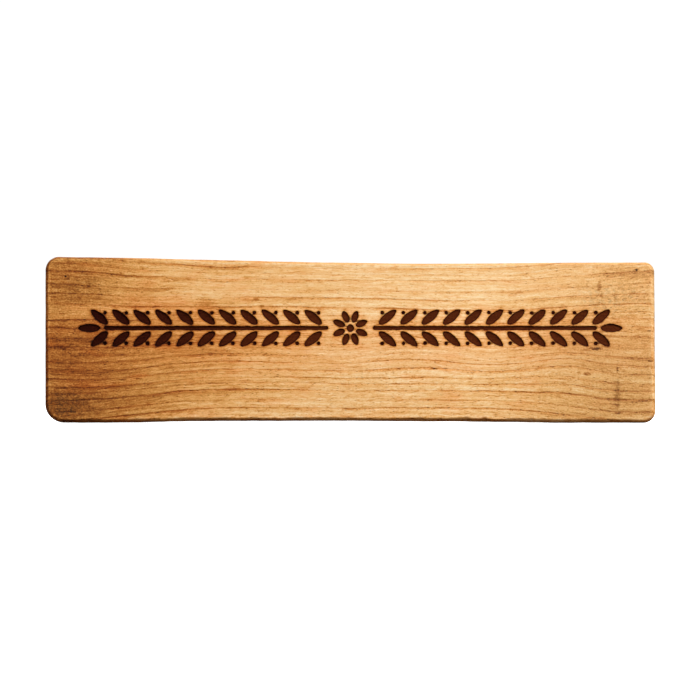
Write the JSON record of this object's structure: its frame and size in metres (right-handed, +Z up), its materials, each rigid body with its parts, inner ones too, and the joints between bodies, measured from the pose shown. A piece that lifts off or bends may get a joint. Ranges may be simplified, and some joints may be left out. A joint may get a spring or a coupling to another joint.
{
  "type": "wooden wall plaque",
  "caption": "Solid-wood wall plaque with a burned leaf garland on its face, swinging D-ring hangers on its back and rubber bumpers that hold it off the wall.",
  "frame": {"origin": "middle of the footprint: half way along the plank, half way through the overall depth, at the height of the two flats of the bottom edge", "axes": "+X along the plank to the right as seen from the front, +Y out of the back towards the wall, +Z up"},
  "size_m": [0.3, 0.0232, 0.0812],
  "materials": {
    "oiled_wood": "oiled, satin, with a scorched recessed band",
    "plated_strap": "zinc plated, satin",
    "plated_wire": "zinc plated, semi-bright",
    "black_rubber": "matte"
  },
  "bodies": {
    "root": {"board": "oiled_wood", "hanger_strap_left": "plated_strap", "hanger_strap_right": "plated_strap", "hanger_screw_left": "plated_wire", "hanger_screw_right": "plated_wire", "bumper_lower_left": "black_rubber", "bumper_lower_right": "black_rubber", "bumper_upper_left": "black_rubber", "bumper_upper_right": "black_rubber"},
    "left_ring": {"d_ring_left": "plated_wire"},
    "right_ring": {"d_ring_right": "plated_wire"}
  },
  "joints": [
    {"name": "left_ring_swing", "type": "hinge", "parent": "root", "child": "left_ring", "pos_m": [-0.105, 0.00875, 0.06], "axis": [-1, 0, 0], "range_deg": [-6, 165]},
    {"name": "right_ring_swing", "type": "hinge", "parent": "root", "child": "right_ring", "pos_m": [0.105, 0.00875, 0.06], "axis": [-1, 0, 0], "range_deg": [-6, 165]}
  ]
}
